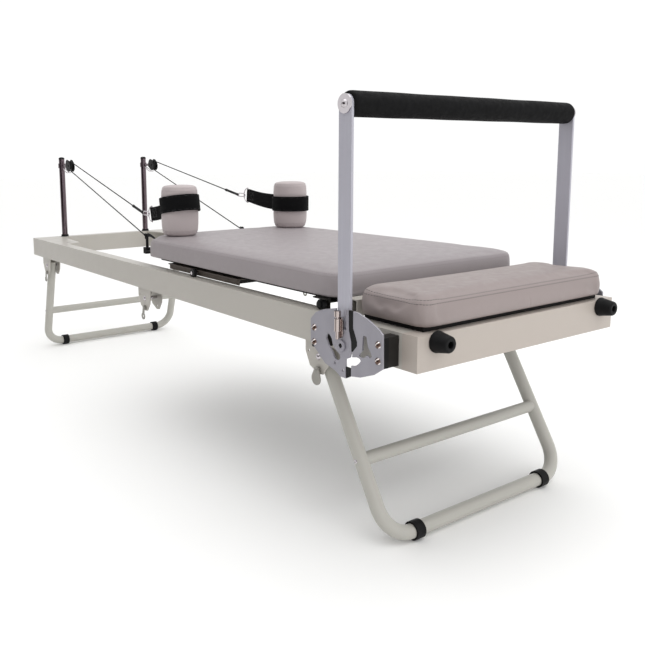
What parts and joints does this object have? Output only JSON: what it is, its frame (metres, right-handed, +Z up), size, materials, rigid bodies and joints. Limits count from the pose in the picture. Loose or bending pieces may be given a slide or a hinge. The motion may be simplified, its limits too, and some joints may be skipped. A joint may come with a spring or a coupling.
{
  "type": "pilates reformer",
  "caption": "Folding pilates reformer: steel frame on U-shaped legs, sprung cushioned carriage with shoulder rests, rope pulleys on risers, tilting padded footbar",
  "frame": {"origin": "on the floor below the middle of the whole object's bounding box", "axes": "+X runs along the frame from the head end with the pulley risers to the foot end with the footbar, +Y to the side called right in node names, +Z up"},
  "size_m": [2.276, 0.778, 0.9449],
  "materials": {
    "frame_paint": "satin",
    "leg_paint": "satin",
    "chrome": "polished",
    "satin_steel": "satin",
    "cushion_leather": "satin",
    "black_plastic": "matte",
    "black_board": "matte",
    "black_webbing": "matte",
    "rope_fibre": "matte",
    "black_rubber": "matte",
    "wheel_plastic": "satin"
  },
  "bodies": {
    "frame": {"rail_left": "frame_paint", "rail_right": "frame_paint", "head_crossbar": "frame_paint", "foot_crossbar": "frame_paint", "spring_bar": "frame_paint", "head_gussets": "frame_paint", "riser_posts": "chrome", "post_trim": "black_plastic", "pulley_blocks": "black_plastic", "platform_board": "black_board", "platform_pad": "cushion_leather", "bumpers": "black_rubber", "index_plates_rear": "satin_steel", "index_plates_front": "satin_steel", "plate_blocks": "frame_paint", "plate_spacers": "black_plastic", "plate_bolts": "chrome", "plunger_housings": "chrome", "leg_brackets": "frame_paint", "leg_pivot_bolts": "chrome", "spring_hooks": "chrome", "rope_left": "rope_fibre", "rope_right": "rope_fibre", "springs": "satin_steel"},
    "carriage": {"carriage_board": "black_board", "carriage_cushion": "cushion_leather", "truck_angles": "black_plastic", "wheel_brackets": "black_plastic", "spring_beam": "black_plastic", "wheel_axles": "chrome", "rest_left": "cushion_leather", "rest_right": "cushion_leather", "rest_bases": "black_plastic", "rest_straps": "black_webbing", "strap_rings": "chrome", "rope_sleeves": "black_plastic", "rope_cleats": "black_plastic"},
    "wheel_head_left": {"wheel_head_left": "wheel_plastic"},
    "wheel_head_right": {"wheel_head_right": "wheel_plastic"},
    "wheel_foot_left": {"wheel_foot_left": "wheel_plastic"},
    "wheel_foot_right": {"wheel_foot_right": "wheel_plastic"},
    "pulley_left": {"pulley_left": "black_plastic"},
    "pulley_right": {"pulley_right": "black_plastic"},
    "footbar": {"footbar_uprights": "satin_steel", "footbar_tube": "chrome", "footbar_grip": "black_rubber", "footbar_bolts": "chrome", "index_discs": "satin_steel"},
    "plunger_left": {"plunger_left": "chrome"},
    "plunger_right": {"plunger_right": "chrome"},
    "head_legs": {"head_leg_frame": "leg_paint", "head_leg_feet": "black_rubber"},
    "foot_legs": {"foot_leg_frame": "leg_paint", "foot_leg_feet": "black_rubber"},
    "head_pin_left": {"head_pin_left": "satin_steel"},
    "head_pin_right": {"head_pin_right": "satin_steel"},
    "mid_pin_left": {"mid_pin_left": "satin_steel"},
    "mid_pin_right": {"mid_pin_right": "satin_steel"},
    "foot_pin_left": {"foot_pin_left": "satin_steel"},
    "foot_pin_right": {"foot_pin_right": "satin_steel"}
  },
  "joints": [
    {"name": "carriage_slide", "type": "slide", "parent": "frame", "child": "carriage", "axis": [1, 0, 0], "range_m": [-0.6, 0], "stiffness_N_per_m": 150, "deforming": ["springs", "rope_left", "rope_right"]},
    {"name": "wheel_head_left_spin", "type": "hinge", "parent": "carriage", "child": "wheel_head_left", "pos_m": [0.222, -0.309, 0.492], "axis": [0, 1, 0], "continuous": true},
    {"name": "wheel_head_right_spin", "type": "hinge", "parent": "carriage", "child": "wheel_head_right", "pos_m": [0.222, 0.309, 0.492], "axis": [0, 1, 0], "continuous": true},
    {"name": "wheel_foot_left_spin", "type": "hinge", "parent": "carriage", "child": "wheel_foot_left", "pos_m": [0.795, -0.309, 0.492], "axis": [0, 1, 0], "continuous": true},
    {"name": "wheel_foot_right_spin", "type": "hinge", "parent": "carriage", "child": "wheel_foot_right", "pos_m": [0.795, 0.309, 0.492], "axis": [0, 1, 0], "continuous": true},
    {"name": "pulley_left_spin", "type": "hinge", "parent": "frame", "child": "pulley_left", "pos_m": [-1.016, -0.195, 0.788], "axis": [0, 1, 0], "continuous": true},
    {"name": "pulley_right_spin", "type": "hinge", "parent": "frame", "child": "pulley_right", "pos_m": [-1.016, 0.195, 0.788], "axis": [0, 1, 0], "continuous": true},
    {"name": "footbar_tilt", "type": "hinge", "parent": "frame", "child": "footbar", "pos_m": [0.937, 0, 0.437], "axis": [0, 1, 0], "range_deg": [-50, 50]},
    {"name": "plunger_left_lift", "type": "slide", "parent": "frame", "child": "plunger_left", "axis": [0, 0, 1], "range_m": [0, 0.012], "stiffness_N_per_m": 400, "springref_m": -0.004},
    {"name": "plunger_right_lift", "type": "slide", "parent": "frame", "child": "plunger_right", "axis": [0, 0, 1], "range_m": [0, 0.012], "stiffness_N_per_m": 400, "springref_m": -0.004},
    {"name": "head_legs_fold", "type": "hinge", "parent": "frame", "child": "head_legs", "pos_m": [-0.998, 0, 0.375], "axis": [0, 1, 0], "range_deg": [-105, 0]},
    {"name": "foot_legs_fold", "type": "hinge", "parent": "frame", "child": "foot_legs", "pos_m": [0.799, 0, 0.375], "axis": [0, 1, 0], "range_deg": [0, 118]},
    {"name": "head_pin_left_pull", "type": "slide", "parent": "frame", "child": "head_pin_left", "axis": [0, -1, 0], "range_m": [0, 0.008], "stiffness_N_per_m": 300, "springref_m": -0.004},
    {"name": "head_pin_right_pull", "type": "slide", "parent": "frame", "child": "head_pin_right", "axis": [0, 1, 0], "range_m": [0, 0.008], "stiffness_N_per_m": 300, "springref_m": -0.004},
    {"name": "mid_pin_left_pull", "type": "slide", "parent": "frame", "child": "mid_pin_left", "axis": [0, -1, 0], "range_m": [0, 0.008], "stiffness_N_per_m": 300, "springref_m": -0.004},
    {"name": "mid_pin_right_pull", "type": "slide", "parent": "frame", "child": "mid_pin_right", "axis": [0, 1, 0], "range_m": [0, 0.008], "stiffness_N_per_m": 300, "springref_m": -0.004},
    {"name": "foot_pin_left_pull", "type": "slide", "parent": "frame", "child": "foot_pin_left", "axis": [0, -1, 0], "range_m": [0, 0.008], "stiffness_N_per_m": 300, "springref_m": -0.004},
    {"name": "foot_pin_right_pull", "type": "slide", "parent": "frame", "child": "foot_pin_right", "axis": [0, 1, 0], "range_m": [0, 0.008], "stiffness_N_per_m": 300, "springref_m": -0.004}
  ],
  "couplings": [
    {"joint": "wheel_head_left_spin", "follows": "carriage_slide", "rad_per_m": 83.333},
    {"joint": "wheel_head_right_spin", "follows": "carriage_slide", "rad_per_m": 83.333},
    {"joint": "wheel_foot_left_spin", "follows": "carriage_slide", "rad_per_m": 83.333},
    {"joint": "wheel_foot_right_spin", "follows": "carriage_slide", "rad_per_m": 83.333}
  ]
}
